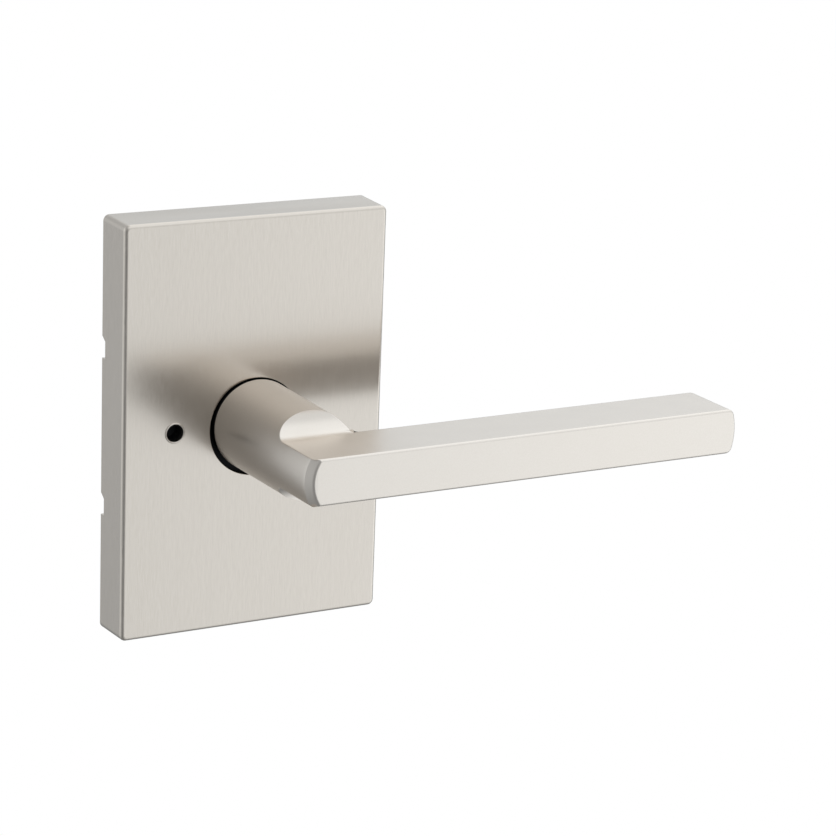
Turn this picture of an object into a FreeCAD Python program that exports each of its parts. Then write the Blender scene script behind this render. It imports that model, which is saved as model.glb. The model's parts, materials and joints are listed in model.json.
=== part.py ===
"""Privacy door lever, outside half: a square-edged rose, a flat-bar lever and the spring works.

Millimetres. The origin is on the turning axis, in the plane of the door's face. +X runs along
the lever, +Y goes into the door and +Z is up, so the rose and the lever are at negative Y.
Every function makes one physical piece, which is written to parts/NAME.step.
"""

import FreeCAD, Part
import math
import os

V = FreeCAD.Vector
AXIS = V(0, 1, 0)

# ---- Rose cover: a drawn plate with slightly spreading walls --------------------------------
ROSE_DEPTH = 12.8
ROSE_FRONT = (73.3, 108.7)
ROSE_BACK = (73.9, 109.3)
ROSE_CORNER = 1.6
ROSE_EDGE = 1.0
ROSE_WALL = 1.2
HUB_HOLE_R = 12.8
HUB_HOLE_X = 0.33
HUB_HOLE_Z = -0.84
HUB_HOLE_EDGE = 0.25
RELEASE_X = -22.4
RELEASE_Z = -0.2
RELEASE_R = 2.3
RELEASE_LIP_R = 2.5
RELEASE_LIP_BEAD = 0.26
RELEASE_LIP_SUNK = 0.02
NOTCH_Z = 20.7
NOTCH_HEIGHT = 5.8
NOTCH_DEPTH = 1.75
NOTCH_SLOPE = 1.3

# ---- Lever: a round hub that ends in a flat bar ---------------------------------------------
HUB_REAR = -13.9
HUB_REAR_R = 12.0
HUB_FRONT_R = 11.4
HUB_REAR_EDGE = 0.35
BAR_FRONT = -65.4
BAR_REAR = -46.7
BAR_HALF = 5.94
BAR_TIP = 113.0
BAR_TIP_ARC = 17.0
BAR_CORNER = 1.9
BAR_FRONT_EDGE = 1.0
BAR_REAR_EDGE = 0.8
COVE_R = 5.5
COVE_START = -43.2
HUB_BORE_DEPTH = 25.2

# ---- Turning works --------------------------------------------------------------------------
TURN_LIMIT = 45.0
SLEEVE_R = 8.0
SLEEVE_TAIL_R = 7.0
SLEEVE_BORE_R = 5.7
SLEEVE_FRONT = -38.0
SLEEVE_REAR = 4.8
SLEEVE_FLAT = 7.2
RUN_FIT = 0.05
SNUG = 0.02
SPINDLE_SIDE = 7.94
SPINDLE_FRONT = -36.0
SPINDLE_REAR = 42.0
SPINDLE_CHAMFER = 0.6
CROSS_PIN_R = 1.25
CROSS_PIN_Y = -32.0
GRUB_R = 2.5
GRUB_Y = -21.0
GRUB_HEX = 2.5

# ---- Spring housing, fixed behind the rose --------------------------------------------------
HOUSING_R = 18.6
HOUSING_WALL = 1.2
HOUSING_FRONT = -10.6
HOUSING_FLOOR = -9.2
COLLAR_R = 11.4
COLLAR_FRONT = -12.3
BUSH_R = 9.2
BUSH_FRONT = -13.3
EAR_PITCH_R = 22.3
EAR_R = 3.9
EAR_THICK = 1.4
CAM_FRONT = -4.3
CAM_REAR = -2.75
SLEEVE_STEP = CAM_REAR
CAM_R = 11.4
LUG_IN = 13.6
LUG_OUT = 15.0
LUG_HALF = 6.0
TAIL_R = 16.2
TAIL_HALF = 12.0
STOP_GAP = 1.0
STOP_SPAN = 14.0
SPRING_R = 12.3
SPRING_WIRE_R = 0.7
SPRING_LEG_X = 2.3
SPRING_LEG_TOP = 17.0
SPRING_FRONT = -8.4
SPRING_REAR = -5.3
SPRING_TURNS = 1

# ---- Plate, posts and liner -----------------------------------------------------------------
PLATE_THICK = 2.0
PLATE_RELIEF = 0.4
PLATE_RELIEF_R = 26.3
PLATE_HALF_X = 31.0
PLATE_HALF_Z = 48.0
PLATE_CORNER = 6.0
REAR_BUSH_R = 9.5
REAR_BUSH_END = 3.0
REAR_FLANGE_R = 11.0
REAR_FLANGE_THICK = 1.2
RING_THICK = 0.9
RING_GROOVE = 0.6
POST_X = 16.0
POST_R = 3.1
POST_LENGTH = 28.0
POST_TAP_R = 1.65
POST_TAP_DEPTH = 22.0
POST_SPIGOT_R = 2.4
LINER_GAP = 0.4
LINER_WALL = 1.6
LINER_FRONT = -9.5
LINER_WEB = 1.6
LINER_WINDOW_R = 28.0
LINER_SCREW_X = 25.0
LINER_SCREW_Z = 41.0
PAD_X = 22.0
PAD_Z = 49.0
PAD_R = 2.8
CLIP_Z = 32.0
CLIP_WIDTH = 9.0
CLIP_THICK = 0.3
CLIP_BEAD_R = 0.22
CLIP_BEAD_Y = -3.6
SCREW_SHANK_R = 1.25
SCREW_HEAD_R = 2.6
SCREW_HEAD = 1.5

# ---- Emergency release ----------------------------------------------------------------------
GUIDE_FRONT = -11.55
GUIDE_R = 3.4
GUIDE_BORE_R = 2.7
GUIDE_SHOULDER = -8.0
GUIDE_CAP = 0.8
GUIDE_FOOT_X = 3.4
GUIDE_FOOT_Z = 6.5
PLUNGER_ROD_R = 1.5
PLUNGER_HEAD_R = 2.6
PLUNGER_HEAD = 1.3
PLUNGER_END = 14.0
PLUNGER_REST_GAP = 0.05
RELEASE_WIRE_R = 0.3
RELEASE_COIL_R = 2.1
RELEASE_TURNS = 2.5


# ---- Small helpers --------------------------------------------------------------------------
def disc(radius, front, rear, x=0.0, z=0.0):
    """A solid cylinder along Y."""
    return Part.makeCylinder(radius, rear - front, V(x, front, z), AXIS)


def ring(outer, inner, front, rear, x=0.0, z=0.0):
    """A tube along Y."""
    return disc(outer, front, rear, x, z).cut(disc(inner, front - 1, rear + 1, x, z))


def block(x0, x1, y0, y1, z0, z1):
    """A box between two corners."""
    return Part.makeBox(x1 - x0, y1 - y0, z1 - z0, V(x0, y0, z0))


def on_circle(radius, degrees):
    """The x and z of a point on a circle about the axis, counted from +X towards +Z."""
    angle = math.radians(degrees)
    return radius * math.cos(angle), radius * math.sin(angle)


def sector(inner, outer, front, rear, middle, half):
    """A piece of a tube about the axis, half degrees each way from the middle angle."""
    corners = [V(inner, front, 0), V(outer, front, 0), V(outer, rear, 0), V(inner, rear, 0)]
    face = Part.Face(Part.makePolygon(corners + corners[:1]))
    solid = face.revolve(V(0, 0, 0), V(0, -1, 0), 2 * half)
    solid.rotate(V(0, 0, 0), V(0, -1, 0), middle - half)
    return solid


def rounded_rectangle(width, height, corner, y):
    """A closed wire in a plane of constant Y: four lines joined by quarter circles."""
    a, b = width / 2, height / 2
    edges = []
    middles = [(a - corner, b - corner, 0), (corner - a, b - corner, 90)]
    middles += [(corner - a, corner - b, 180), (a - corner, corner - b, 270)]
    ends = []
    for cx, cz, start in middles:
        points = []
        for step in (0, 45, 90):
            dx, dz = on_circle(corner, start + step)
            points.append(V(cx + dx, y, cz + dz))
        edges.append(Part.Arc(*points).toShape())
        ends.append((points[0], points[2]))
    for i in range(4):
        edges.append(Part.LineSegment(ends[i][1], ends[(i + 1) % 4][0]).toShape())
    return Part.Wire(Part.__sortEdges__(edges))


def plate_solid(width, height, corner, front, rear):
    """A flat plate with rounded corners."""
    face = Part.Face(rounded_rectangle(width, height, corner, front))
    return face.extrude(V(0, rear - front, 0))


def coil(radius, wire_radius, front, rear, turns, start):
    """A helical wire about the axis, wound from the start angle towards falling angles."""
    helix = Part.makeHelix((rear - front) / turns, rear - front, radius)
    profile = Part.Wire(Part.makeCircle(wire_radius, V(radius, 0, 0), V(0, 1, 0)))
    body = Part.Wire(helix).makePipeShell([profile], True, True)
    body.rotate(V(0, 0, 0), V(1, 0, 0), -90)
    body.rotate(V(0, 0, 0), V(0, -1, 0), start)
    body.translate(V(0, front, 0))
    return Part.Solid(body) if body.ShapeType == "Shell" else body


def edges_at(shape, y, beyond=-100.0):
    """The edges that lie in one plane of constant Y and reach past a given x."""
    found = []
    for edge in shape.Edges:
        box = edge.BoundBox
        if abs(box.YMin - y) < 1e-4 and abs(box.YMax - y) < 1e-4 and box.XMax > beyond:
            found.append(edge)
    return found


def pan_screw(x, z, head_seat, tip):
    """A small pan-head screw with a cross recess, its head towards the front."""
    head = disc(SCREW_HEAD_R, head_seat - SCREW_HEAD, head_seat, x, z)
    top = head_seat - SCREW_HEAD
    head = head.makeFillet(0.6, edges_at(head, top))
    arm, depth = 1.4, 0.8
    for half_x, half_z in ((arm, 0.3), (0.3, arm)):
        head = head.cut(block(x - half_x, x + half_x, top - 1, top + depth, z - half_z, z + half_z))
    return head.fuse(disc(SCREW_SHANK_R, head_seat, tip, x, z)).removeSplitter()


def four_ways(x, z):
    """The four mirror places of a point."""
    return [(sx * x, sz * z) for sx in (1, -1) for sz in (1, -1)]


# ---- Rose -----------------------------------------------------------------------------------
def rose_block(inset, front, rear):
    """The rose's outer form, or its hollow when inset is the wall thickness."""
    sections = []
    for (width, height), y in ((ROSE_FRONT, front), (ROSE_BACK, rear)):
        corner = ROSE_CORNER - inset if inset < ROSE_CORNER else ROSE_CORNER
        size = (width - 2 * inset, height - 2 * inset)
        sections.append(rounded_rectangle(*size, corner, y))
    return Part.makeLoft(sections, True, True)


def rose_notch(side, z):
    """A pry slot through a side wall, open at the door, with a sloping upper end."""
    low, high = z - NOTCH_HEIGHT / 2, z + NOTCH_HEIGHT / 2
    outline = [(low, 1), (low, -NOTCH_DEPTH), (high - NOTCH_SLOPE, -NOTCH_DEPTH), (high, 0), (high, 1)]
    points = [V(0, y, zz) for zz, y in outline]
    face = Part.Face(Part.makePolygon(points + points[:1]))
    slot = face.extrude(V(6, 0, 0))
    slot.translate(V(ROSE_BACK[0] / 2 - 4 if side > 0 else -ROSE_BACK[0] / 2 - 2, 0, 0))
    return slot


def rose_cover():
    shell = rose_block(0, -ROSE_DEPTH, 0)
    shell = shell.makeFillet(ROSE_EDGE, edges_at(shell, -ROSE_DEPTH))
    shell = shell.cut(rose_block(ROSE_WALL, -ROSE_DEPTH + ROSE_WALL, 0.001))
    shell = shell.cut(disc(HUB_HOLE_R, -20, 0, HUB_HOLE_X, HUB_HOLE_Z))
    mouth = [e for e in edges_at(shell, -ROSE_DEPTH) if abs(e.BoundBox.XLength - 2 * HUB_HOLE_R) < 0.01]
    shell = shell.makeFillet(HUB_HOLE_EDGE, mouth)
    lip_centre = V(RELEASE_X, -ROSE_DEPTH + RELEASE_LIP_SUNK, RELEASE_Z)
    shell = shell.fuse(Part.makeTorus(RELEASE_LIP_R, RELEASE_LIP_BEAD, lip_centre, V(0, 1, 0)))
    shell = shell.cut(disc(RELEASE_R, -20, 0, RELEASE_X, RELEASE_Z))
    for side in (1, -1):
        for z in (NOTCH_Z, -NOTCH_Z):
            shell = shell.cut(rose_notch(side, z))
    return shell


def rose_liner():
    """Moulded frame that the cover snaps over."""
    half_x = ROSE_FRONT[0] / 2 - ROSE_WALL - LINER_GAP
    half_z = ROSE_FRONT[1] / 2 - ROSE_WALL - LINER_GAP
    rear = -0.3
    web_front = -PLATE_THICK - 0.05 - LINER_WEB
    wall = plate_solid(2 * half_x, 2 * half_z, 2.0, LINER_FRONT, rear)
    inner = (2 * (half_x - LINER_WALL), 2 * (half_z - LINER_WALL))
    wall = wall.cut(plate_solid(*inner, 0.8, LINER_FRONT - 1, rear + 1))
    web = plate_solid(inner[0] + 1, inner[1] + 1, 1.0, web_front, web_front + LINER_WEB)
    frame = wall.fuse(web)
    for x, z in four_ways(PAD_X, PAD_Z):
        frame = frame.fuse(disc(PAD_R, -ROSE_DEPTH + ROSE_WALL + 0.1, web_front + 0.5, x, z))
    frame = frame.cut(disc(LINER_WINDOW_R, -20, 5))
    for x, z in four_ways(LINER_SCREW_X, LINER_SCREW_Z):
        frame = frame.cut(disc(SCREW_SHANK_R + SNUG, -20, 5, x, z))
    return frame.removeSplitter()


def cover_clips():
    """Four spring-steel clips over the liner's side walls, which grip the cover."""
    outer = ROSE_FRONT[0] / 2 - ROSE_WALL - LINER_GAP
    inner = outer - LINER_WALL
    gap = 0.02
    clips = []
    for side, z in four_ways(1, CLIP_Z):
        z0, z1 = z - CLIP_WIDTH / 2, z + CLIP_WIDTH / 2
        top = LINER_FRONT - gap
        reach = outer + gap + CLIP_THICK
        leaf = block(outer + gap, reach, top - CLIP_THICK, -2.6, z0, z1)
        leaf = leaf.fuse(block(inner - gap - CLIP_THICK, reach, top - CLIP_THICK, top, z0, z1))
        leaf = leaf.fuse(block(inner - gap - CLIP_THICK, inner - gap, top, -5.0, z0, z1))
        bead = Part.makeCylinder(CLIP_BEAD_R, CLIP_WIDTH - 2, V(reach, CLIP_BEAD_Y, z0 + 1), V(0, 0, 1))
        leaf = leaf.fuse(bead).removeSplitter()
        if side < 0:
            leaf = leaf.mirror(V(0, 0, 0), V(1, 0, 0))
        clips.append(leaf)
    return Part.makeCompound(clips)


def liner_screws():
    seat = -PLATE_THICK - 0.05 - LINER_WEB
    screws = [pan_screw(x, z, seat, -0.2) for x, z in four_ways(LINER_SCREW_X, LINER_SCREW_Z)]
    return Part.makeCompound(screws)


# ---- Chassis --------------------------------------------------------------------------------
def ear_places():
    return [on_circle(EAR_PITCH_R, 45 + 90 * i) for i in range(4)]


def mounting_plate():
    """Steel plate on the door. Its back is relieved inside the cross bore, where the posts are staked."""
    plate = plate_solid(2 * PLATE_HALF_X, 2 * PLATE_HALF_Z, PLATE_CORNER, -PLATE_THICK, 0)
    plate = plate.cut(disc(PLATE_RELIEF_R, -PLATE_RELIEF, 5))
    plate = plate.cut(disc(REAR_BUSH_R, -5, 5))
    plate = plate.cut(disc(GUIDE_R, -5, 5, RELEASE_X, RELEASE_Z))
    for side in (1, -1):
        plate = plate.cut(disc(POST_SPIGOT_R, -5, 5, side * POST_X, 0))
    for x, z in four_ways(LINER_SCREW_X, LINER_SCREW_Z) + ear_places():
        plate = plate.cut(disc(SCREW_SHANK_R, -5, 5, x, z))
    return plate


def screw_posts():
    """Two internally threaded posts, staked into the plate, that take the through screws."""
    posts = []
    for side in (1, -1):
        x = side * POST_X
        post = disc(POST_R, -PLATE_RELIEF, POST_LENGTH, x)
        post = post.makeChamfer(0.4, edges_at(post, POST_LENGTH))
        post = post.fuse(disc(POST_SPIGOT_R, -PLATE_THICK, -PLATE_RELIEF, x)).removeSplitter()
        posts.append(post.cut(disc(POST_TAP_R, POST_LENGTH - POST_TAP_DEPTH, POST_LENGTH + 1, x)))
    return Part.makeCompound(posts)


def spring_housing():
    """A cast cup over the return spring, with the spring's anchor and the two turn stops."""
    inner = HOUSING_R - HOUSING_WALL
    rear = -PLATE_THICK
    cup = disc(HOUSING_R, HOUSING_FRONT, rear).fuse(disc(COLLAR_R, COLLAR_FRONT, HOUSING_FRONT))
    for x, z in ear_places():
        ear = disc(EAR_R, rear - EAR_THICK, rear, x, z)
        neck_x, neck_z = x * 0.8, z * 0.8
        ear = ear.fuse(disc(EAR_R, rear - EAR_THICK, rear, neck_x, neck_z))
        cup = cup.fuse(ear)
    cup = cup.cut(disc(inner, HOUSING_FLOOR, rear + 1))
    anchor = block(-1.5, 1.5, HOUSING_FLOOR, -4.7, LUG_OUT + 0.4, inner + 0.3)
    cup = cup.fuse(anchor)
    for way in (1, -1):
        middle = 270 + way * (TAIL_HALF + TURN_LIMIT + STOP_GAP + STOP_SPAN / 2)
        cup = cup.fuse(sector(14.0, inner + 0.3, HOUSING_FLOOR, CAM_REAR, middle, STOP_SPAN / 2))
    cup = cup.cut(disc(BUSH_R, -20, 0))
    for x, z in ear_places():
        cup = cup.cut(disc(SCREW_SHANK_R + SNUG, -20, 0, x, z))
    return cup.removeSplitter()


def housing_screws():
    seat = -PLATE_THICK - EAR_THICK
    return Part.makeCompound([pan_screw(x, z, seat, -0.2) for x, z in ear_places()])


def front_bush():
    """Acetal bearing in the housing's collar; its flange carries the friction washer."""
    bush = disc(COLLAR_R, BUSH_FRONT, COLLAR_FRONT).fuse(disc(BUSH_R, COLLAR_FRONT, HOUSING_FLOOR))
    return bush.removeSplitter().cut(disc(SLEEVE_R + RUN_FIT, -20, 0))


def friction_washer():
    """Thin washer between the hub and the bush that stops the lever rattling."""
    return ring(COLLAR_R - 0.6, SLEEVE_R + RUN_FIT, HUB_REAR + 0.05, BUSH_FRONT)


def rear_bush():
    """Flanged bearing in the plate, behind the cam."""
    bush = disc(REAR_BUSH_R, -PLATE_THICK, REAR_BUSH_END)
    bush = bush.fuse(disc(REAR_FLANGE_R, -PLATE_RELIEF, REAR_FLANGE_THICK)).removeSplitter()
    return bush.cut(disc(SLEEVE_TAIL_R + RUN_FIT, -20, 20))


def thrust_washer():
    """Steel washer between the cam and the plate."""
    return ring(CAM_R, SLEEVE_TAIL_R + RUN_FIT, CAM_REAR + 0.05, -PLATE_THICK)


def return_spring():
    """Torsion spring: both legs stand up and hold the cam's lug and the fixed anchor between them."""
    lean = math.degrees(math.acos(SPRING_LEG_X / SPRING_R))
    turns = SPRING_TURNS + (360 - (180 - 2 * lean)) / 360
    spring = coil(SPRING_R, SPRING_WIRE_R, SPRING_FRONT, SPRING_REAR, turns, lean)
    foot = SPRING_R * math.sin(math.radians(lean))
    for x, y in ((SPRING_LEG_X, SPRING_FRONT), (-SPRING_LEG_X, SPRING_REAR)):
        spring = spring.fuse(Part.makeSphere(SPRING_WIRE_R, V(x, y, foot)))
        leg = Part.makeCylinder(SPRING_WIRE_R, SPRING_LEG_TOP - foot, V(x, y, foot), V(0, 0, 1))
        spring = spring.fuse(leg)
    return spring


# ---- Turning pieces -------------------------------------------------------------------------
def bar_outline(y):
    """The bar's front view: straight flats, a slightly bowed end and rounded end corners."""
    arc_x = BAR_TIP - BAR_TIP_ARC
    # Centre of a corner arc that touches the flat and the bowed end from inside.
    corner_z = BAR_HALF - BAR_CORNER
    reach = math.sqrt((BAR_TIP_ARC - BAR_CORNER) ** 2 - corner_z ** 2)
    corner_x = arc_x + reach
    lean = math.atan2(corner_z, reach)
    touch = V(arc_x + BAR_TIP_ARC * math.cos(lean), y, BAR_TIP_ARC * math.sin(lean))
    half_way = (lean + math.pi / 2) / 2
    middle = V(corner_x + BAR_CORNER * math.cos(half_way), y, corner_z + BAR_CORNER * math.sin(half_way))
    top = V(corner_x, y, BAR_HALF)

    def below(p):
        return V(p.x, p.y, -p.z)

    edges = [
        Part.LineSegment(V(0, y, BAR_HALF), top).toShape(),
        Part.Arc(top, middle, touch).toShape(),
        Part.Arc(touch, V(BAR_TIP, y, 0), below(touch)).toShape(),
        Part.Arc(below(touch), below(middle), below(top)).toShape(),
        Part.LineSegment(below(top), V(0, y, -BAR_HALF)).toShape(),
        Part.LineSegment(V(0, y, -BAR_HALF), V(0, y, BAR_HALF)).toShape(),
    ]
    return Part.Wire(edges)


def hub_profile():
    """Half section of the hub: a slight taper with a soft rear rim, turned about the axis."""
    edge = HUB_REAR_EDGE
    bend = edge * (1 - math.sqrt(0.5))
    rear_side = V(HUB_REAR_R, HUB_REAR - edge, 0)
    rear_round = V(HUB_REAR_R - bend, HUB_REAR - bend, 0)
    rear_face = V(HUB_REAR_R - edge, HUB_REAR, 0)
    front_axis, front_rim = V(0, BAR_FRONT, 0), V(HUB_FRONT_R, BAR_FRONT, 0)
    edges = [
        Part.LineSegment(front_axis, front_rim).toShape(),
        Part.LineSegment(front_rim, rear_side).toShape(),
        Part.Arc(rear_side, rear_round, rear_face).toShape(),
        Part.LineSegment(rear_face, V(0, HUB_REAR, 0)).toShape(),
        Part.LineSegment(V(0, HUB_REAR, 0), front_axis).toShape(),
    ]
    return Part.Face(Part.Wire(edges))


def cove(way):
    """What the mould leaves out above the bar's flat, where the hub sweeps down into the bar."""
    flat_y = COVE_START - COVE_R
    deep = BAR_HALF + COVE_R
    bend = math.sqrt(0.5)
    high = HUB_REAR_R + 3
    ahead = BAR_FRONT - 3
    start = V(-15, COVE_START, deep)
    middle = V(-15, flat_y + COVE_R * bend, deep - COVE_R * bend)
    end = V(-15, flat_y, BAR_HALF)
    edges = [
        Part.LineSegment(V(-15, COVE_START, high), start).toShape(),
        Part.Arc(start, middle, end).toShape(),
        Part.LineSegment(end, V(-15, ahead, BAR_HALF)).toShape(),
        Part.LineSegment(V(-15, ahead, BAR_HALF), V(-15, ahead, high)).toShape(),
        Part.LineSegment(V(-15, ahead, high), V(-15, COVE_START, high)).toShape(),
    ]
    tool = Part.Face(Part.Wire(edges)).extrude(V(30, 0, 0))
    return tool if way > 0 else tool.mirror(V(0, 0, 0), V(0, 0, 1))


def lever():
    """Cast lever: the hub with its two coves, run into the flat bar, bored for the sleeve."""
    body = hub_profile().revolve(V(0, 0, 0), AXIS, 360)
    for way in (1, -1):
        body = body.cut(cove(way))
    bar = Part.Face(bar_outline(BAR_FRONT)).extrude(V(0, BAR_REAR - BAR_FRONT, 0))
    body = body.fuse(bar).removeSplitter()
    body = body.makeFillet(BAR_FRONT_EDGE, edges_at(body, BAR_FRONT))
    body = body.makeFillet(BAR_REAR_EDGE, edges_at(body, BAR_REAR, HUB_REAR_R))
    body = body.cut(disc(SLEEVE_R + SNUG, HUB_REAR - HUB_BORE_DEPTH, 0))
    return body.cut(Part.makeCylinder(GRUB_R, 14, V(0, GRUB_Y, 0), V(0, 0, -1)))


def spindle_sleeve():
    """Turned steel tube that joins the lever, the cam and the spindle."""
    tube = disc(SLEEVE_R, SLEEVE_FRONT, SLEEVE_STEP).fuse(disc(SLEEVE_TAIL_R, SLEEVE_STEP, SLEEVE_REAR))
    for side in (1, -1):
        x = side * (SLEEVE_FLAT + 5)
        tube = tube.cut(block(x - 5, x + 5, CAM_FRONT, SLEEVE_STEP, -12, 12))
    groove_front = REAR_BUSH_END + 0.05
    tail = SLEEVE_TAIL_R
    tube = tube.cut(ring(tail + 1, tail - RING_GROOVE, groove_front, groove_front + RING_THICK))
    tube = tube.cut(disc(SLEEVE_BORE_R, -60, 20))
    pin_hole = Part.makeCylinder(CROSS_PIN_R, 30, V(0, CROSS_PIN_Y, -15), V(0, 0, 1))
    dimple = Part.makeCone(1.8, 1.1, 0.7, V(0, GRUB_Y, -SLEEVE_R), V(0, 0, 1))
    return tube.cut(pin_hole).cut(dimple).removeSplitter()


def set_screw():
    """Socket grub screw under the hub, its point in the sleeve's dimple."""
    length, point = 3.2, 0.6
    screw = Part.makeCylinder(GRUB_R - SNUG, length, V(0, GRUB_Y, -SLEEVE_R - 0.05), V(0, 0, -1))
    screw = screw.fuse(Part.makeCone(1.6, 1.0, point, V(0, GRUB_Y, -SLEEVE_R - 0.05), V(0, 0, 1)))
    radius = GRUB_HEX / math.sqrt(3)
    low = -SLEEVE_R - 0.05 - length
    corners = []
    for i in range(7):
        dx, dy = on_circle(radius, 60 * i)
        corners.append(V(dx, GRUB_Y + dy, low))
    socket = Part.Face(Part.makePolygon(corners)).extrude(V(0, 0, 1.8))
    return screw.cut(socket).removeSplitter()


def drive_cam():
    """Stamped cam: its lug opens the spring and its tail meets the housing's stops."""
    cam = disc(CAM_R, CAM_FRONT, CAM_REAR)
    cam = cam.fuse(sector(5, LUG_OUT, CAM_FRONT, CAM_REAR, 90, LUG_HALF + 3))
    cam = cam.fuse(sector(LUG_IN, LUG_OUT, HOUSING_FLOOR + 0.4, CAM_FRONT, 90, LUG_HALF))
    cam = cam.fuse(sector(5, TAIL_R, CAM_FRONT, CAM_REAR, 270, TAIL_HALF))
    flat = SLEEVE_FLAT + SNUG
    hole = disc(SLEEVE_R + SNUG, -10, 0).common(block(-flat, flat, -10, 0, -12, 12))
    return cam.cut(hole).removeSplitter()


def retaining_ring():
    """Open spring ring in the sleeve's groove, behind the rear bush."""
    front = REAR_BUSH_END + 0.05
    inner = SLEEVE_TAIL_R - RING_GROOVE
    clip = ring(SLEEVE_TAIL_R + 1.9, inner, front, front + RING_THICK)
    clip = clip.fuse(sector(inner, SLEEVE_TAIL_R + 3.2, front, front + RING_THICK, 270, 22))
    clip = clip.cut(block(-1.2, 1.2, 0, 8, -20, 0))
    for x in (-2.6, 2.6):
        clip = clip.cut(disc(0.7, 0, 8, x, -SLEEVE_TAIL_R - 1.6))
    return clip.removeSplitter()


def spindle():
    """Square spindle that turns the latch."""
    half = SPINDLE_SIDE / 2
    bar = block(-half, half, SPINDLE_FRONT, SPINDLE_REAR, -half, half)
    long_edges = [e for e in bar.Edges if e.BoundBox.YLength > 1]
    bar = bar.makeChamfer(SPINDLE_CHAMFER, long_edges)
    bar = bar.makeChamfer(SPINDLE_CHAMFER, edges_at(bar, SPINDLE_REAR))
    return bar.cut(Part.makeCylinder(CROSS_PIN_R, 30, V(0, CROSS_PIN_Y, -15), V(0, 0, 1)))


def spindle_pin():
    """Cross pin through the sleeve and the spindle."""
    half_length = SLEEVE_R - 0.1
    return Part.makeCylinder(CROSS_PIN_R - 0.01, 2 * half_length, V(0, CROSS_PIN_Y, -half_length), V(0, 0, 1))


# ---- Emergency release ----------------------------------------------------------------------
def release_guide():
    """Moulded tube behind the small hole; a rectangular foot seats it on the plate."""
    x, z = RELEASE_X, RELEASE_Z
    half_x, half_z = GUIDE_FOOT_X, GUIDE_FOOT_Z
    seat = -PLATE_THICK
    foot = block(x - half_x, x + half_x, seat - EAR_THICK, seat, z - half_z, z + half_z)
    guide = disc(GUIDE_R, GUIDE_FRONT, -PLATE_RELIEF, x, z).fuse(foot)
    guide = guide.cut(disc(RELEASE_R, -20, 5, x, z))
    return guide.cut(disc(GUIDE_BORE_R, GUIDE_SHOULDER, 5, x, z)).removeSplitter()


def release_cap():
    """Ring pressed into the guide's rear end that holds the light spring in."""
    rear = -PLATE_RELIEF
    return ring(GUIDE_BORE_R, PLUNGER_ROD_R + RUN_FIT, rear - GUIDE_CAP, rear, RELEASE_X, RELEASE_Z)


def plunger_head_front():
    return GUIDE_SHOULDER + PLUNGER_REST_GAP


def release_plunger():
    """Plastic pin that a thin tool pushes in, to free the lock on the other side of the door."""
    x, z = RELEASE_X, RELEASE_Z
    front = plunger_head_front()
    pin = disc(PLUNGER_HEAD_R, front, front + PLUNGER_HEAD, x, z)
    pin = pin.fuse(disc(PLUNGER_ROD_R, front + PLUNGER_HEAD, PLUNGER_END, x, z)).removeSplitter()
    return pin.makeFillet(0.7, edges_at(pin, PLUNGER_END))


def release_spring():
    """Light compression spring that pushes the plunger back to the front."""
    front = plunger_head_front() + PLUNGER_HEAD + RELEASE_WIRE_R
    rear = -PLATE_RELIEF - GUIDE_CAP - RELEASE_WIRE_R
    spring = coil(RELEASE_COIL_R, RELEASE_WIRE_R, front, rear, RELEASE_TURNS, 0)
    spring.translate(V(RELEASE_X, 0, RELEASE_Z))
    return spring


PIECES = [
    rose_cover, rose_liner, cover_clips, liner_screws, mounting_plate, screw_posts,
    spring_housing, housing_screws, front_bush, friction_washer, rear_bush, thrust_washer,
    return_spring, lever, spindle_sleeve, set_screw, drive_cam, retaining_ring,
    spindle, spindle_pin, release_guide, release_cap, release_plunger, release_spring,
]


def main():
    os.makedirs("parts", exist_ok=True)
    for make in PIECES:
        shape = make()
        solids = len(shape.Solids)
        print(f"{make.__name__}: valid {shape.isValid()}, {solids} solids, {shape.Volume:.1f} mm3")
        shape.exportStep("parts/" + make.__name__ + ".step")


main()
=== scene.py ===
# %% [markdown]
# # A door lever handle in satin nickel
# The handle is the outside half of a privacy set: a tall rectangular rose, a round hub that turns
# into a flat bar, and behind them the plate, posts, spring and spindle that make it work.
# The engineering model is loaded first as a fixed frame. It gives every piece its true place and
# size in metres, so no piece has to be placed by eye.

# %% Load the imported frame
import json
import math

import bmesh
import bpy
import numpy as np
from mathutils import Matrix, Vector


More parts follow.
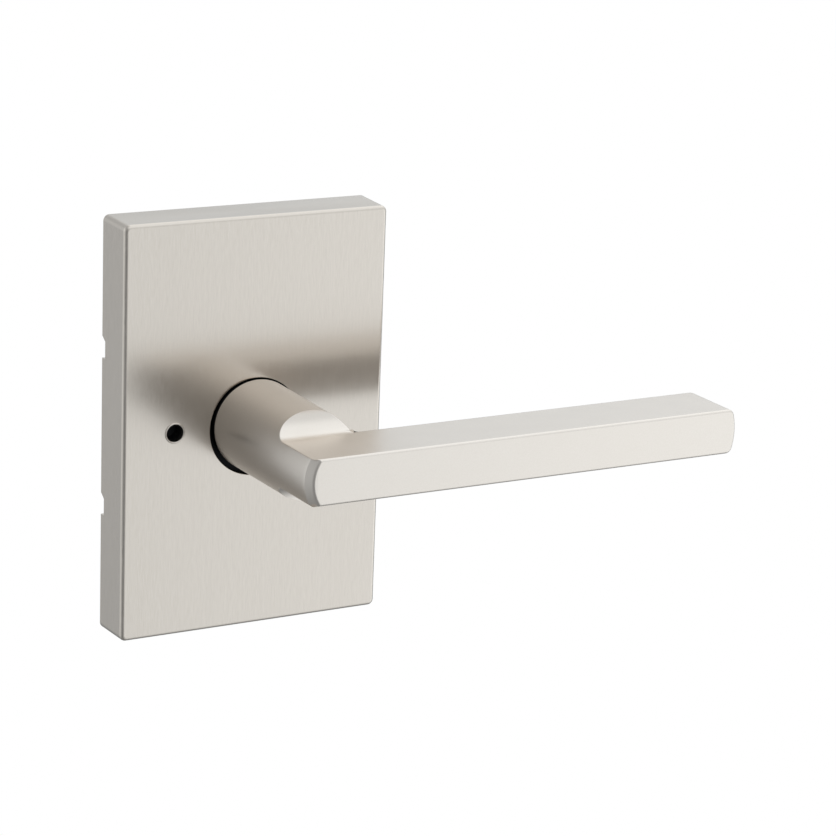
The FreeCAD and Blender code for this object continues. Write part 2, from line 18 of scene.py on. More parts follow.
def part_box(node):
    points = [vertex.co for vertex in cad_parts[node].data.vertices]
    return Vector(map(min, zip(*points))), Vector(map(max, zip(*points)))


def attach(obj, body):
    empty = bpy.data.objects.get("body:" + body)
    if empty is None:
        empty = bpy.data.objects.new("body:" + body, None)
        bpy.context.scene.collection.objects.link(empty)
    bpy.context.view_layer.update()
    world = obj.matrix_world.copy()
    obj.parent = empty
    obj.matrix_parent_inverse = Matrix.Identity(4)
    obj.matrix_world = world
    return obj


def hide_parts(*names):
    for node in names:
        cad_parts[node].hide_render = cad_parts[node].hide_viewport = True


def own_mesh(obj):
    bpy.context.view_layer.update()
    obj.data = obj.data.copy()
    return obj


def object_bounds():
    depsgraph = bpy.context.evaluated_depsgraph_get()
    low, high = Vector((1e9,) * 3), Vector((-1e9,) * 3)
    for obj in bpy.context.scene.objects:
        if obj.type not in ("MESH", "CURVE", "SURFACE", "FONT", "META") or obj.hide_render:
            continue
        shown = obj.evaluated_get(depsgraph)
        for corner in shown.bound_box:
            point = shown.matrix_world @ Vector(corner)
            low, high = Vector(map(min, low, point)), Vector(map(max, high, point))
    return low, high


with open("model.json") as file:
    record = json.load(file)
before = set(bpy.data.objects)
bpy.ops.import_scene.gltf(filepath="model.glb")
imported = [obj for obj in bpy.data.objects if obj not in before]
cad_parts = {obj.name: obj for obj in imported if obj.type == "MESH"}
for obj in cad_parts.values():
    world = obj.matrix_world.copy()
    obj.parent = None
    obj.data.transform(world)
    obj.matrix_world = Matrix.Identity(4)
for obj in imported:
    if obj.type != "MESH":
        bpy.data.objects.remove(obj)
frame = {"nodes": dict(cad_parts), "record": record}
NODES = frame["nodes"]
cad_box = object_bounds()
MM = 0.001
print("CAD box in mm:", [[round(v / MM, 2) for v in corner] for corner in cad_box])

# %% [markdown]
# ## The camera
# A product camera stands to the left of the handle and a little above it, with a long lens, so that
# upright edges stay nearly parallel. It could be aimed with a constraint, but three angles, a
# distance and the point it looks at say the same thing in plain numbers.

# %% Aim the camera
YAW = math.radians(29.577)
ELEVATION = math.radians(15.999)
ROLL = math.radians(2.218)
DISTANCE = 804.4 * MM
TARGET = Vector((55.30, 0.0, -7.91)) * MM
LENS = 128.6
SENSOR = 36.0
NEAREST = 0.05


def camera_axes(yaw, elevation, roll):
    """Right, up and forward of a camera: forward dips below the horizon by the elevation, right is
    level and square to it, and the roll turns right and up about forward."""
    flat = math.cos(elevation)
    forward = Vector((math.sin(yaw) * flat, math.cos(yaw) * flat, -math.sin(elevation)))
    level = Vector((math.cos(yaw), -math.sin(yaw), 0.0))
    upright = level.cross(forward)
    right = math.cos(roll) * level + math.sin(roll) * upright
    up = -math.sin(roll) * level + math.cos(roll) * upright
    return right, up, forward


right, up, forward = camera_axes(YAW, ELEVATION, ROLL)
camera = bpy.data.objects.new("camera", bpy.data.cameras.new("camera"))
bpy.context.scene.collection.objects.link(camera)
bpy.context.scene.camera = camera
camera.data.lens = LENS
camera.data.sensor_width = SENSOR
camera.data.clip_start = NEAREST
turned = Matrix((right, up, -forward)).transposed().to_4x4()
camera.matrix_world = Matrix.Translation(TARGET - DISTANCE * forward) @ turned
bpy.context.scene.view_settings.view_transform = "Standard"
print("camera at", [round(v / MM, 1) for v in camera.location], "mm")

# %% [markdown]
# ## Shader sums in Python
# A material is a network of small sums. They could be wired node by node, but written as
# expressions they read like the sums they are. One class stands for a socket and turns +, * and **
# into Math nodes; one method of the network adds every other kind of node.

# %% Wrap sockets and networks
# Positions of the sockets that are used on nodes with several: Texture Coordinate's outputs, Vector
# Math's number, and Mix's factor, two colours and blended colour.
GENERATED, OBJECT = 0, 3
DOT = 1
MIX_FACTOR, MIX_A, MIX_B, MIXED = 0, 6, 7, 2


class Value:
    """One output socket. Arithmetic on it adds Math nodes to its network."""

    def __init__(self, network, socket):
        self.network, self.socket = network, socket

    def sum(self, operation, other):
        return self.network.node("ShaderNodeMath", {"operation": operation}, [self, other])[0]

    def __add__(self, other):
        return self.sum("ADD", other)

    def __mul__(self, other):
        return self.sum("MULTIPLY", other)

    def __pow__(self, other):
        return self.sum("POWER", other)

    __radd__ = __add__
    __rmul__ = __mul__


class Network:
    """A node tree under construction."""

    def __init__(self, tree):
        self.tree = tree
        tree.nodes.clear()

    def node(self, kind, settings=None, sockets=()):
        """Adds a node: settings first, then sockets, given by name or in order, as numbers or Values.
        Returns its outputs as Values, by position."""
        made = self.tree.nodes.new(kind)
        for name, value in (settings or {}).items():
            setattr(made, name, value)
        given = sockets.items() if isinstance(sockets, dict) else enumerate(sockets)
        for name, value in given:
            if isinstance(value, Value):
                self.tree.links.new(value.socket, made.inputs[name])
            else:
                made.inputs[name].default_value = value
        return [Value(self, output) for output in made.outputs]

    def place(self, lengths):
        """Object coordinates, counted in the given lengths in millimetres along x, y and z."""
        here = self.node("ShaderNodeTexCoord")[OBJECT]
        per_metre = [1.0 / (MM * length) for length in lengths]
        return self.node("ShaderNodeVectorMath", {"operation": "MULTIPLY"}, [here, per_metre])[0]

    def noise(self, lengths, detail=2.0):
        """Noise around 0.5 whose blotches have the given lengths in millimetres along x, y and z."""
        sockets = {"Vector": self.place(lengths), "Scale": 1.0, "Detail": detail}
        return self.node("ShaderNodeTexNoise", {}, sockets)[0]

    def mix(self, factor, colour_a, colour_b):
        """Colour a where factor is 0, colour b where it is 1."""
        sockets = {MIX_FACTOR: factor, MIX_A: (*colour_a, 1.0), MIX_B: (*colour_b, 1.0)}
        return self.node("ShaderNodeMix", {"data_type": "RGBA"}, sockets)[MIXED]

    def bump(self, height, strength, depth):
        """A normal tilted as if the surface rose by depth millimetres where height goes from 0 to 1, and
        weakened to the given strength."""
        sockets = {"Height": height, "Strength": strength, "Distance": depth * MM}
        return self.node("ShaderNodeBump", {}, sockets)[0]


def blend(first, second, share):
    """The given share of the first value and the rest of the second."""
    return share * first + (1.0 - share) * second


def finish(name, varying, constants):
    """A material with one Principled shader. varying(network) returns the inputs that change over the
    surface; constants are set on the shader's own sockets."""
    material = bpy.data.materials.new(name)
    material.use_nodes = True
    network = Network(material.node_tree)
    shader = network.node("ShaderNodeBsdfPrincipled", {}, {**constants, **varying(network)})[0]
    network.node("ShaderNodeOutputMaterial", {}, [shader])
    print("finish", name, "with", len(material.node_tree.nodes), "nodes")
    return material


# %% [markdown]
# ## Satin nickel
# Nickel plate is a warm grey metal. On the rose it is brushed upright before lacquering: thousands
# of fine grooves along z that smear a reflection sideways and leave faint upright streaks. A
# picture of scratches would do, but noise gives the same look at any size and never repeats: once a
# quarter of a millimetre across and ten times as long, for the grooves, and once broader and drawn
# out to centimetres, for the streaks.

# %% Brushed nickel for the rose
NICKEL_LIGHT = (0.735, 0.670, 0.600)
NICKEL_DARK = (0.615, 0.555, 0.490)
GROOVE_LENGTHS = (0.28, 0.28, 2.8)
STREAK_LENGTHS = (0.8, 0.8, 30.0)
GROOVE_SHARE = 0.85
BRUSHED_ROUGHNESS, GROOVE_ROUGHNESS = 0.17, 0.12
GROOVE_STRENGTH, GROOVE_DEPTH = 0.30, 0.02
BRUSHED_STRETCH = 0.6


def upright_brushing(network):
    """Grooves and streaks blended choose the colour. Roughness and height rise with the grooves."""
    grooves = network.noise(GROOVE_LENGTHS)
    streaks = network.noise(STREAK_LENGTHS)
    return {
        "Base Color": network.mix(blend(grooves, streaks, GROOVE_SHARE), NICKEL_DARK, NICKEL_LIGHT),
        "Roughness": BRUSHED_ROUGHNESS + GROOVE_ROUGHNESS * grooves,
        "Normal": network.bump(grooves, GROOVE_STRENGTH, GROOVE_DEPTH),
    }


brushed_nickel = finish(
    "satin_nickel_plate", upright_brushing, {"Metallic": 1.0, "Anisotropic": BRUSHED_STRETCH}
)


# %% [markdown]
# The lever is the same plating over a blasted casting, so its grain has no direction: tiny pits a
# quarter of a millimetre wide, and a very faint cloudiness from the polishing wheel.

# %% Blasted nickel for the lever
CASTING_LIGHT = (0.825, 0.762, 0.695)
CASTING_DARK = (0.715, 0.652, 0.585)
PIT_LENGTHS = (0.25, 0.25, 0.25)
POLISH_LENGTHS = (7.0, 5.0, 5.0)
PIT_SHARE = 0.7
BLASTED_ROUGHNESS, PIT_ROUGHNESS, POLISH_ROUGHNESS = 0.27, 0.06, 0.03
PIT_STRENGTH, PIT_DEPTH = 0.12, 0.008


def fine_blasting(network):
    """Pits and polish blended choose the colour, both add to the roughness, and the pits have height."""
    pits = network.noise(PIT_LENGTHS)
    polish = network.noise(POLISH_LENGTHS)
    return {
        "Base Color": network.mix(blend(pits, polish, PIT_SHARE), CASTING_DARK, CASTING_LIGHT),
        "Roughness": BLASTED_ROUGHNESS + PIT_ROUGHNESS * pits + POLISH_ROUGHNESS * polish,
        "Normal": network.bump(pits, PIT_STRENGTH, PIT_DEPTH),
    }


blasted_nickel = finish("satin_nickel_lever", fine_blasting, {"Metallic": 1.0})


# %% [markdown]
# ## The working parts
# Behind the rose each piece has the plain finish of its trade. They share two recipes: a metal whose
# colour and roughness wander, with pits or turning lines, and a moulded plastic with a fine spark
# texture. A recipe holds what its finishes have in common.

# %% Recipes for plain metals and plastics
WEAR_LENGTHS, WEAR_SHARE = (6.0, 6.0, 6.0), 0.5
MARK_ROUGHNESS, WEAR_ROUGHNESS = 0.16, 0.10
MARK_STRENGTH, MARK_DETAIL = 0.4, 4.0
SPARK_LENGTHS, SPARK_DETAIL = (0.12, 0.12, 0.12), 3.0
FLOW_LENGTHS, FLOW_SHARE = (9.0, 9.0, 9.0), 0.5
SPARK_ROUGHNESS, SPARK_STRENGTH, SPARK_DEPTH = 0.12, 0.3, 0.02


def worn_metal(light, dark, grain, roughness, depth):
    """Metal between two colours. grain is the size in mm of its marks along x, y and z. Marks and wear
    swing the roughness by their own shares to both sides of the one given."""

    def varying(network):
        marks = network.noise(grain, MARK_DETAIL)
        wear = network.noise(WEAR_LENGTHS)
        middle = (MARK_ROUGHNESS + WEAR_ROUGHNESS) / 2
        return {
            "Base Color": network.mix(blend(wear, marks, WEAR_SHARE), dark, light),
            "Roughness": MARK_ROUGHNESS * marks + WEAR_ROUGHNESS * wear + (roughness - middle),
            "Normal": network.bump(marks, MARK_STRENGTH, depth),
        }

    return varying, {"Metallic": 1.0}


def moulded(light, dark, roughness):
    """Plastic from a spark-eroded mould. The spark marks swing the roughness to both sides of the one
    given, and the flow of the plastic clouds the colour."""

    def varying(network):
        sparks = network.noise(SPARK_LENGTHS, SPARK_DETAIL)
        flow = network.noise(FLOW_LENGTHS)
        return {
            "Base Color": network.mix(blend(flow, sparks, FLOW_SHARE), dark, light),
            "Roughness": SPARK_ROUGHNESS * sparks + (roughness - SPARK_ROUGHNESS / 2),
            "Normal": network.bump(sparks, SPARK_STRENGTH, SPARK_DEPTH),
        }

    return varying, {"Metallic": 0.0}


# %% [markdown]
# Each finish is one recipe with its own numbers: its lightest and its darkest colour, for a metal the
# size of its marks in millimetres, then its roughness, and for a metal how deep the marks are. Zinc
# plate has long upright marks, turned steel has fine lines round the axis, and the rest have pits.

# %% Finishes of the working parts
WORKING_FINISHES = {
    "moulded_grey": moulded((0.040, 0.041, 0.043), (0.028, 0.029, 0.031), 0.55),
    "black_acetal": moulded((0.012, 0.012, 0.012), (0.006, 0.006, 0.006), 0.45),
    "zinc_plated_steel": worn_metal((0.66, 0.67, 0.69), (0.50, 0.51, 0.53), (0.5, 0.5, 6.0), 0.34, 0.01),
    "cast_zinc": worn_metal((0.030, 0.030, 0.031), (0.015, 0.015, 0.016), (0.4, 0.4, 0.4), 0.60, 0.03),
    "turned_steel": worn_metal((0.50, 0.49, 0.48), (0.38, 0.37, 0.36), (3.0, 0.15, 3.0), 0.30, 0.008),
    "spring_steel": worn_metal((0.34, 0.34, 0.35), (0.22, 0.22, 0.23), (0.8, 0.8, 0.8), 0.32, 0.01),
    "black_steel": worn_metal((0.06, 0.06, 0.065), (0.03, 0.03, 0.033), (0.3, 0.3, 0.3), 0.42, 0.01),
}
SLOT_FINISHES = {"satin_nickel_plate": brushed_nickel, "satin_nickel_lever": blasted_nickel}
for slot, recipe in WORKING_FINISHES.items():
    SLOT_FINISHES[slot] = finish(slot, *recipe)

# %% [markdown]
# Each CAD piece says in the record which finish it takes, so one loop dresses them all.

# %% Dress the CAD pieces
for part in frame["record"]["subparts"]:
    node = NODES[part["node"]]
    node.data.materials.clear()
    node.data.materials.append(SLOT_FINISHES[part["material_slot"]])
print(len(NODES), "pieces dressed")

# %% [markdown]
# ## The lever
# The real lever is one casting. Its round hub narrows a little towards the front, two coves are cut
# into it from above and below, and what is left between them runs on as a flat bar. Booleans
# would give razor edges, but a casting is polished: every edge is soft, and each edge is what
# catches the light. So the skin is worked out as rings, one closed outline per step from the door to
# the front, with each rounding written into the outline or into the steps. The frame gives the outer
# sizes, and the numbers below are the casting's own.

# %% The lever's sizes, in millimetres
lever_low, lever_high = (Vector(corner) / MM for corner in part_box("lever"))
HUB_REAR, BAR_FRONT, BAR_TIP, HUB_R = lever_high.y, lever_low.y, lever_high.x, -lever_low.x
HUB_FRONT_R = 11.4
BAR_HALF = 5.94
BAR_REAR = -46.7
COVE_R = 5.5
COVE_START = -43.2
TIP_ARC_R = 17.0
TIP_CORNER_R = 1.9
REAR_ROUNDING = 0.8
FRONT_ROUNDING = 0.7
RIM_DEPTH = 1.9
RIM_WIDTH = 1.25
RIM_SOFT = 0.45
HUB_EDGE = 0.35
SIDE_ROUNDING = 0.40
ROOT_ROUNDING = 0.6
print("from the door to the bar's front:", round(-BAR_FRONT, 2), "mm; axis to tip:", round(BAR_TIP, 2), "mm")


def hub_radius(y):
    """The hub is a very slim cone: its radius runs evenly from the rear size to the front size."""
    return HUB_R + (HUB_FRONT_R - HUB_R) * (HUB_REAR - y) / (HUB_REAR - BAR_FRONT)


def cove_half(y):
    """Half the height left between the coves: outside the hub behind them, then down a quarter circle
    centred one cove radius above the bar, and the bar's own half height in front of it."""
    along = np.clip((y - (COVE_START - COVE_R)) / COVE_R, 0.0, 1.0)
    return BAR_HALF + COVE_R * (1.0 - np.sqrt(1.0 - along**2))


# %% [markdown]
# An outline is described by its upper half, from the far left round to the far right, and mirrored.
# It has five stretches: the hub's left arc, a soft corner, the flat of the cove, another soft corner,
# and the far side, which is the hub's right arc or, further forward, the whole bar with its bowed end.

# %% Outlines of the hub and the bar
ARC_POINTS, CORNER_POINTS, FLAT_POINTS = 30, 7, 11
LINE_POINTS, TIP_CORNER_POINTS, TIP_ARC_POINTS = 24, 9, 7
FAR_POINTS = LINE_POINTS + TIP_CORNER_POINTS + TIP_ARC_POINTS
NEAR_HUB = 1.4
LINE_GATHER = 1.6
print("an upper half has", ARC_POINTS + 2 * CORNER_POINTS + FLAT_POINTS + FAR_POINTS, "points")


def on_arc(centre_x, centre_z, radius, angle):
    """Points at the given angles on a circle, as x beside z."""
    return np.column_stack([centre_x + radius * np.cos(angle), centre_z + radius * np.sin(angle)])


def spread(start, end, count):
    """Even steps that leave out the start, because the stretch before ends there."""
    return np.linspace(start, end, count + 1)[1:]


def corner_centre(radius, half):
    """Middle of the arc between a circle and a flat at a height: it lies the arc's radius inside both."""
    centre_z = half - SIDE_ROUNDING
    return math.sqrt((radius - SIDE_ROUNDING) ** 2 - centre_z**2), centre_z


def hub_half(radius, half, grown=0.0):
    """Upper half of a circle cut off flat at a height, with an arc at each corner that touches both.
    grown pushes the right side outwards, and the right corner by a share that grows with the angle."""
    centre_x, centre_z = corner_centre(radius, half)
    lean = math.atan2(centre_z, centre_x)
    corner_r = SIDE_ROUNDING + spread(0.0, grown, CORNER_POINTS)
    return np.concatenate(
        [
            on_arc(0, 0, radius, np.linspace(math.pi, math.pi - lean, ARC_POINTS)),
            on_arc(-centre_x, centre_z, SIDE_ROUNDING, spread(math.pi - lean, math.pi / 2, CORNER_POINTS)),
            np.column_stack([spread(-centre_x, centre_x, FLAT_POINTS), np.full(FLAT_POINTS, half)]),
            on_arc(centre_x, centre_z, corner_r, spread(math.pi / 2, lean, CORNER_POINTS)),
            on_arc(0, 0, radius + grown, spread(lean, 0.0, FAR_POINTS)),
        ]
    )


def hub_height(radius, half, x):
    """How high the hub's outline stands at a place right of its middle: the flat, then the soft
    corner's arc, then the hub's circle, and nothing beyond that."""
    centre_x, centre_z = corner_centre(radius, half)
    touch = centre_x * radius / (radius - SIDE_ROUNDING)
    corner = centre_z + np.sqrt(np.maximum(SIDE_ROUNDING**2 - np.maximum(x - centre_x, 0.0) ** 2, 0.0))
    return np.where(x < touch, corner, np.sqrt(np.maximum(radius**2 - x**2, 0.0)))


def bar_half(radius, half, inset):
    """Upper half of the hub's outline joined with the bar's. The bar's end is a large arc, a small arc
    that touches both it and the top rounds the corner, and the higher of hub and bar is the outline.
    Points stand even for NEAR_HUB millimetres, then further apart by a power of the way along."""
    left = hub_half(radius, half)[: ARC_POINTS + CORNER_POINTS + FLAT_POINTS]
    top = BAR_HALF - inset
    arc_r, corner_r = TIP_ARC_R - inset, TIP_CORNER_R - inset
    arc_x = BAR_TIP - TIP_ARC_R
    corner_z = top - corner_r
    corner_x = arc_x + math.sqrt((arc_r - corner_r) ** 2 - corner_z**2)
    lean = math.atan2(corner_z, corner_x - arc_x)
    start = left[-1, 0]
    near = spread(0.0, NEAR_HUB, CORNER_POINTS)
    far = NEAR_HUB + (corner_x - start - NEAR_HUB) * spread(0.0, 1.0, LINE_POINTS) ** LINE_GATHER
    line_x = start + np.concatenate([near, far])
    line = np.column_stack([line_x, np.maximum(top, hub_height(radius, half, line_x))])
    corner = on_arc(corner_x, corner_z, corner_r, spread(math.pi / 2, lean, TIP_CORNER_POINTS))
    end = on_arc(arc_x, 0, arc_r, spread(lean, 0.0, TIP_ARC_POINTS))
    return np.concatenate([left, line, corner, end])


def whole_ring(half_outline, depth):
    """A closed ring in 3-D from an upper half: the lower half is its mirror image, walked backwards."""
    under = half_outline[-2:0:-1] * (1.0, -1.0)
    depth = np.broadcast_to(depth, len(half_outline))
    flat = np.concatenate([half_outline, under])
    y = np.concatenate([depth, depth[-2:0:-1]])
    return np.column_stack([flat[:, 0], y, flat[:, 1]])


# %% [markdown]
# The rings then follow each other from the door forwards. Quarter circles of a few steps round the
# hub's rear edge, the root of the bar, the bar's rear edge and the bar's front edge. Round the hub the
# front edge is a polished bevel instead, with a tight rounding where it meets the face.

# %% Rings of the hub and its coves
QUARTER = np.linspace(0.0, math.pi / 2, 6)
HUB_RINGS = 11
COVE_RINGS = 15


def round_hub(y, radius):
    """A full circle whose points stand at the same angles as the first ring that has flats."""
    model = hub_half(hub_radius(COVE_START), cove_half(COVE_START))
    angle = np.arctan2(model[:, 1], model[:, 0])
    return whole_ring(on_arc(0, 0, radius, angle), y)


def hub_rings():
    """A quarter circle round the rear edge, then even steps along the cone to where the coves start."""
    edge = [
        round_hub(HUB_REAR - HUB_EDGE * (1 - math.cos(turn)), HUB_R - HUB_EDGE * (1 - math.sin(turn)))
        for turn in QUARTER
    ]
    return edge + [round_hub(y, hub_radius(y)) for y in spread(HUB_REAR - HUB_EDGE, COVE_START, HUB_RINGS)]


def cove_rings():
    """Even steps of angle down the coves' quarter circle, as far as the root of the bar."""
    reach = math.acos((BAR_REAR + ROOT_ROUNDING - COVE_START + COVE_R) / COVE_R)
    depths = [
        COVE_START - COVE_R + COVE_R * math.cos(reach * turn)
        for turn in np.linspace(0.0, 1.0, COVE_RINGS, endpoint=False)
    ]
    return [whole_ring(hub_half(hub_radius(y), cove_half(y)), y) for y in depths]


# %% [markdown]
# The bar grows out of the right side of the hub between the coves. Its rings stand closest where the
# coves run out, and one stands a little behind the hub's bevel, so that the long faces between stay
# flat and the roundings have all the bend.

# %% Rings of the bar
BAR_DEPTHS = (-47.9, -48.3, -48.7, -49.4, -52.0, -57.0, -62.0)
BEHIND_RIM = 0.4
FRONT_RINGS = 17
BEVEL_SHARE = 0.4


def root_ring(turn):
    """The hub's outline, grown on the right by a quarter circle that leads into the bar's rear face."""
    y = BAR_REAR + ROOT_ROUNDING * (1 - math.sin(turn))
    grown = ROOT_ROUNDING * (1 - math.cos(turn))
    return whole_ring(hub_half(hub_radius(y), cove_half(y), grown), y)


def bar_ring(y, inset=0.0):
    """The joined outline of hub and bar at a depth, with the bar drawn in by the inset."""
    return whole_ring(bar_half(hub_radius(y), cove_half(y), inset), y)


def rear_edge_ring(turn):
    """The bar's rear edge, a quarter circle."""
    return bar_ring(BAR_REAR - REAR_ROUNDING * (1 - math.cos(turn)), REAR_ROUNDING * (1 - math.sin(turn)))


def hub_rim(step):
    """Inset and depth of the hub's front edge as step goes from 0 to 1: a straight bevel, then a parabola
    that leaves the bevel in line with it and comes to rest on the face."""
    bevel, soft = min(step / BEVEL_SHARE, 1.0), max((step - BEVEL_SHARE) / (1.0 - BEVEL_SHARE), 0.0)
    reach = 2 * RIM_SOFT * RIM_WIDTH / (RIM_DEPTH - RIM_SOFT)
    inset = RIM_WIDTH * bevel + reach * soft
    depth = RIM_DEPTH + (RIM_SOFT - RIM_DEPTH) * bevel - RIM_SOFT * (1 - (1 - soft) ** 2)
    return inset, depth


def front_ring(step):
    """The front edge as step goes from 0 to 1. The hub's arc follows its rim, the flats and the bar follow
    a quarter circle, and across the first soft corner one depth melts into the other."""
    turn = step * math.pi / 2
    hub_inset, hub_depth = hub_rim(step)
    bar_inset, bar_depth = FRONT_ROUNDING * (1 - math.cos(turn)), FRONT_ROUNDING * (1 - math.sin(turn))
    outline = bar_half(HUB_FRONT_R - hub_inset, BAR_HALF - bar_inset, bar_inset)
    bar_points = FLAT_POINTS + CORNER_POINTS + FAR_POINTS
    hub_share = np.concatenate(
        [np.ones(ARC_POINTS), np.linspace(1.0, 0.0, CORNER_POINTS), np.zeros(bar_points)]
    )
    return whole_ring(outline, BAR_FRONT + hub_share * hub_depth + (1 - hub_share) * bar_depth)


def bar_rings():
    """From the root through the rear edge and the plain bar to the front edge."""
    root = [root_ring(turn) for turn in QUARTER]
    rear = [rear_edge_ring(turn) for turn in QUARTER]
    plain = [bar_ring(y) for y in (*BAR_DEPTHS, BAR_FRONT + RIM_DEPTH + BEHIND_RIM)]
    return root + rear + plain + [front_ring(step) for step in np.linspace(0.0, 1.0, FRONT_RINGS)]


lever_rings = np.array(hub_rings() + cove_rings() + bar_rings()) * MM
print("the lever is", lever_rings.shape[0], "rings of", lever_rings.shape[1], "points")

# %% [markdown]
# Rings become a skin by joining each point to its neighbours. The two ends are closed with rungs: each
# point of the upper half is joined straight down to the one below it, so the flat front is made of
# clean strips and no fan of slivers.

# %% Skin a stack of rings
SAME_POINT = 1e-7  # metres


def merge_doubles(mesh):
    """Joins points that coincide, which also drops the faces between them that have no area."""
    shape = bmesh.new()
    shape.from_mesh(mesh)
    bmesh.ops.remove_doubles(shape, verts=shape.verts, dist=SAME_POINT)
    bmesh.ops.recalc_face_normals(shape, faces=shape.faces)
    shape.to_mesh(mesh)
    shape.free()


def skin(name, rings, finish_used):
    """A closed mesh over rings of equal count: quads between neighbours, and rungs across both ends."""
    rows, count = rings.shape[:2]
    index = np.arange(rows * count).reshape(rows, count)
    beside = np.roll(index, -1, axis=1)
    quads = np.stack([index[:-1], beside[:-1], beside[1:], index[1:]], axis=-1).reshape(-1, 4)
    half = count // 2
    top, bottom = np.arange(half + 1), (count - np.arange(half + 1)) % count
    rungs = np.stack([top[:-1], bottom[:-1], bottom[1:], top[1:]], axis=-1)
    faces = quads.tolist()
    for base, order in ((0, 1), ((rows - 1) * count, -1)):
        for rung in rungs:
            corners = list(dict.fromkeys((base + rung).tolist()))
            faces.append(corners[::order])
    mesh = bpy.data.meshes.new(name)
    mesh.from_pydata(rings.reshape(-1, 3).tolist(), [], faces)
    if finish_used:
        mesh.materials.append(finish_used)
    merge_doubles(mesh)
    piece = bpy.data.objects.new(name, mesh)
    bpy.context.scene.collection.objects.link(piece)
    print(name, "has", len(mesh.vertices), "points and", len(mesh.polygons), "faces")
    return piece


# %% [markdown]
# Two things are cut from the solid skin: the bore that slides over the sleeve, and under the hub the
# threaded hole of the set screw. Both are plain round holes, so here a Boolean is the honest tool.
# Its result is made real, and Weighted Normal keeps the broad flats flat beside their roundings.

# %% Cut the bore and the screw hole
BORE_R = 8.02
BORE_DEPTH = 25.2
GRUB_R = 2.5
GRUB_Y = -21.0
STANDS_OUT = 2.0
CUTTER_SIDES = 96
CREASE = math.radians(35)
FLATTEST = 100


def round_cutter(radius, start, end):
    """A closed cylinder between two points: two rings of the same circle, squared to its axis."""
    start, end = np.array(start), np.array(end)
    axis = (end - start) / np.linalg.norm(end - start)
    side = np.cross(axis, (1.0, 0.0, 0.0))
    other = np.cross(axis, side)
    angle = np.linspace(0.0, 2 * math.pi, CUTTER_SIDES, endpoint=False)
    circle = radius * (np.outer(np.cos(angle), side) + np.outer(np.sin(angle), other))
    return skin("cutter", np.array([circle + end, circle + start]) * MM, None)


def cut(piece, cutter):
    """Takes the cutter's volume out of a piece, makes the result real and removes the cutter."""
    boolean = piece.modifiers.new("cut", "BOOLEAN")
    boolean.operation, boolean.solver, boolean.object = "DIFFERENCE", "EXACT", cutter
    bpy.context.view_layer.update()
    evaluated = piece.evaluated_get(bpy.context.evaluated_depsgraph_get())
    cut_mesh = bpy.data.meshes.new_from_object(evaluated)
    piece.modifiers.clear()
    old, piece.data = piece.data, cut_mesh
    bpy.data.meshes.remove(old)
    bpy.data.objects.remove(cutter)


def soften_shading(piece):
    """Smooth shading that breaks at creases and lets the widest faces set the normals."""
    piece.data.shade_smooth()
    piece.data.set_sharp_from_angle(angle=CREASE)
    weighted = piece.modifiers.new("flats stay flat", "WEIGHTED_NORMAL")
    weighted.weight = FLATTEST
    weighted.keep_sharp = True


lever = skin("lever_casting", lever_rings, blasted_nickel)
cut(lever, round_cutter(BORE_R, (0, HUB_REAR + STANDS_OUT, 0), (0, HUB_REAR - BORE_DEPTH, 0)))
cut(lever, round_cutter(GRUB_R, (0, GRUB_Y, -HUB_R - STANDS_OUT), (0, GRUB_Y, 0)))
lever.data.name = "lever_casting"
soften_shading(lever)
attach(lever, "lever")
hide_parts("lever")
print("lever box in mm:", [round(v / MM, 2) for v in lever.dimensions])

# %% [markdown]
# ## The release spring
# A pin pushed into the small hole drives the plunger 3 mm back against this little coil. As a rigid
# piece it would be cut by the plunger, so it is drawn again as a helix: a circle of wire carried along
# a screw line, left at its full length. How short the plunger's travel would close it is only worked out and
# printed.

# %% Wind the release spring
WIRE_R = 0.3
TURNS = 2.5
PLUNGER_TRAVEL = 3.0


def helix_rings(middle, coil_r, start, end, wire_r, turns, steps=80, around=12):
    """Circles of wire squared to a helix: the line goes round at the coil's radius and forwards evenly,
    and each circle lies between the outward direction and the one square to that and to the line."""
    angle = np.linspace(0.0, 2 * math.pi * turns, steps)
    outward = np.column_stack([np.cos(angle), np.zeros(steps), np.sin(angle)])
    along = np.linspace(start, end, steps)
    line = coil_r * outward + np.column_stack([np.full(steps, middle.x), along, np.full(steps, middle.z)])
    rise = (end - start) / (2 * math.pi * turns)
    ahead = np.column_stack([-coil_r * np.sin(angle), np.full(steps, rise), coil_r * np.cos(angle)])
    square = np.cross(ahead / np.linalg.norm(ahead, axis=1, keepdims=True), outward)
    turn = np.linspace(0.0, 2 * math.pi, around, endpoint=False)[None, :, None]
    return line[:, None] + wire_r * (np.cos(turn) * outward[:, None] + np.sin(turn) * square[:, None])


spring_low, spring_high = (Vector(corner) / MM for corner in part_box("release_spring"))
coil_r = (spring_high.x - spring_low.x) / 2 - WIRE_R
wound = helix_rings(
    (spring_low + spring_high) / 2, coil_r, spring_low.y + WIRE_R, spring_high.y - WIRE_R, WIRE_R, TURNS
)
release_coil = skin("release_coil", wound * MM, SLOT_FINISHES["spring_steel"])
release_coil.data.shade_smooth()
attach(release_coil, "chassis")
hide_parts("release_spring")
length = spring_high.y - spring_low.y
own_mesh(release_coil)
closed = length - PLUNGER_TRAVEL
print("release spring is", round(length, 2), "mm long and closes to", round(closed, 2), "mm")

# %% [markdown]
# ## Soft studio light
# A metal has no colour of its own to speak of: it shows the room. Small lamps would leave spots on
# it, so the room itself is the light, as in a white tent: broad patches of brightness that melt into
# each other. The paper beyond the handle is plain white.

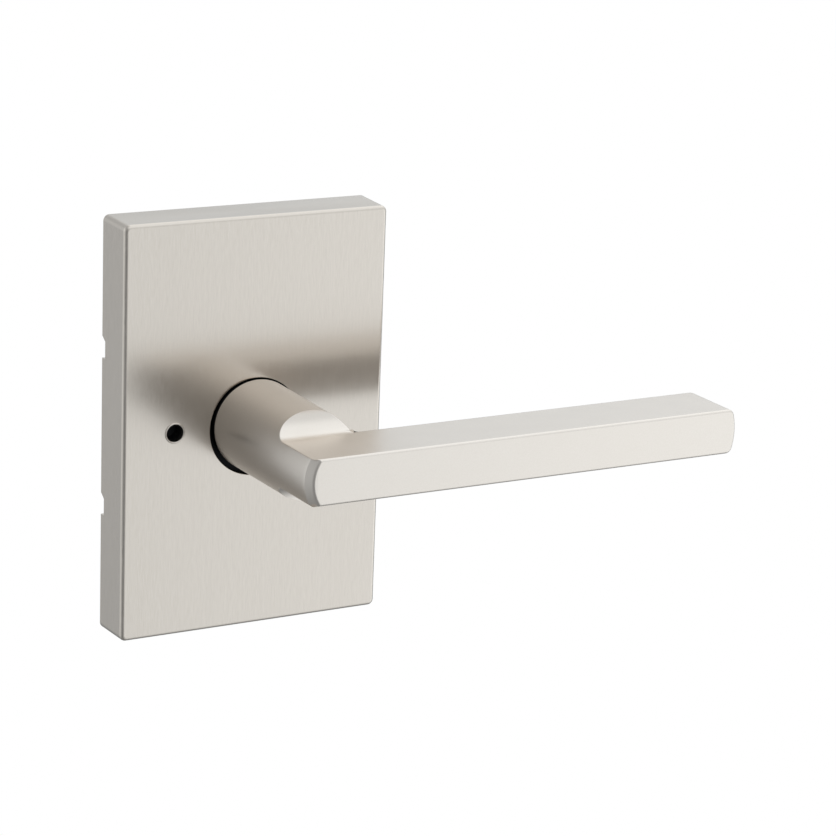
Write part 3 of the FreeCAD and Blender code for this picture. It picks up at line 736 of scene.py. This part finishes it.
# %% Light the tent
ROOM = [
    # where the patch is, how narrow it is, how bright it is
    ((-0.90, 0.40, 0.10), 6.0, 0.75),  # a white wall, far on the left
    ((0.70, -0.65, -0.30), 10.0, 1.06),  # the main soft box, in front on the right and a little low
    ((0.65, 0.40, 0.65), 7.0, 1.10),  # a panel high on the right, behind the door
    ((0.20, -0.60, 0.75), 10.0, 0.80),  # a second box overhead, in front
]
ROOM_BASE = 0.21
DAYLIGHT = (1.00, 1.05, 1.09, 1.0)
PAPER_WHITE = (1.0, 1.0, 1.0, 1.0)


def light_the_room():
    """Brightness is the base plus, for each patch, its strength times (1 + cosine of the angle to its
    middle) / 2 to the power of its narrowness. The camera itself sees white paper."""
    world = bpy.data.worlds.new("studio")
    bpy.context.scene.world = world
    world.use_nodes = True
    network = Network(world.node_tree)
    way = network.node("ShaderNodeTexCoord")[GENERATED]
    total = ROOM_BASE
    for direction, narrowness, strength in ROOM:
        unit = Vector(direction).normalized()
        along = network.node("ShaderNodeVectorMath", {"operation": "DOT_PRODUCT"}, [way, unit])[DOT]
        total = total + ((along + 1.0) * 0.5) ** narrowness * strength
    tent = network.node("ShaderNodeBackground", {}, {"Color": DAYLIGHT, "Strength": total})[0]
    paper = network.node("ShaderNodeBackground", {}, {"Color": PAPER_WHITE, "Strength": 1.0})[0]
    seen = network.node("ShaderNodeLightPath")[0]
    both = network.node("ShaderNodeMixShader", {}, [seen, tent, paper])[0]
    network.node("ShaderNodeOutputWorld", {}, [both])
    print("room lit by", len(ROOM), "patches")


light_the_room()

# %% [markdown]
# The floor is a wide sheet of the same white paper, a metre below, so it meets the paper behind with no
# horizon. A lit floor would have to be matched to the paper by trial, and its mirror image would change
# the metal, so this one glows as white as the paper and only the camera sees it.

# %% Lay the floor
FLOOR_DROP = 1.0
FLOOR_HALF = 15.0
FLOOR_CORNERS = ((-1, -1), (1, -1), (1, 1), (-1, 1))


def white_floor():
    """A square sheet below the handle that only the camera sees."""
    height = cad_box[0][2] - FLOOR_DROP
    corners = [(x * FLOOR_HALF, y * FLOOR_HALF, height) for x, y in FLOOR_CORNERS]
    mesh = bpy.data.meshes.new("paper_floor")
    mesh.from_pydata(corners, [], [(0, 1, 2, 3)])
    material = bpy.data.materials.new("paper")
    material.use_nodes = True
    network = Network(material.node_tree)
    glow = network.node("ShaderNodeEmission", {}, {"Color": PAPER_WHITE, "Strength": 1.0})[0]
    network.node("ShaderNodeOutputMaterial", {}, [glow])
    mesh.materials.append(material)
    sheet = bpy.data.objects.new("paper_floor", mesh)
    bpy.context.scene.collection.objects.link(sheet)
    sheet.visible_diffuse = sheet.visible_glossy = sheet.visible_shadow = False
    return sheet


floor = white_floor()
print("floor at", round(floor.data.vertices[0].co.z / MM), "mm")
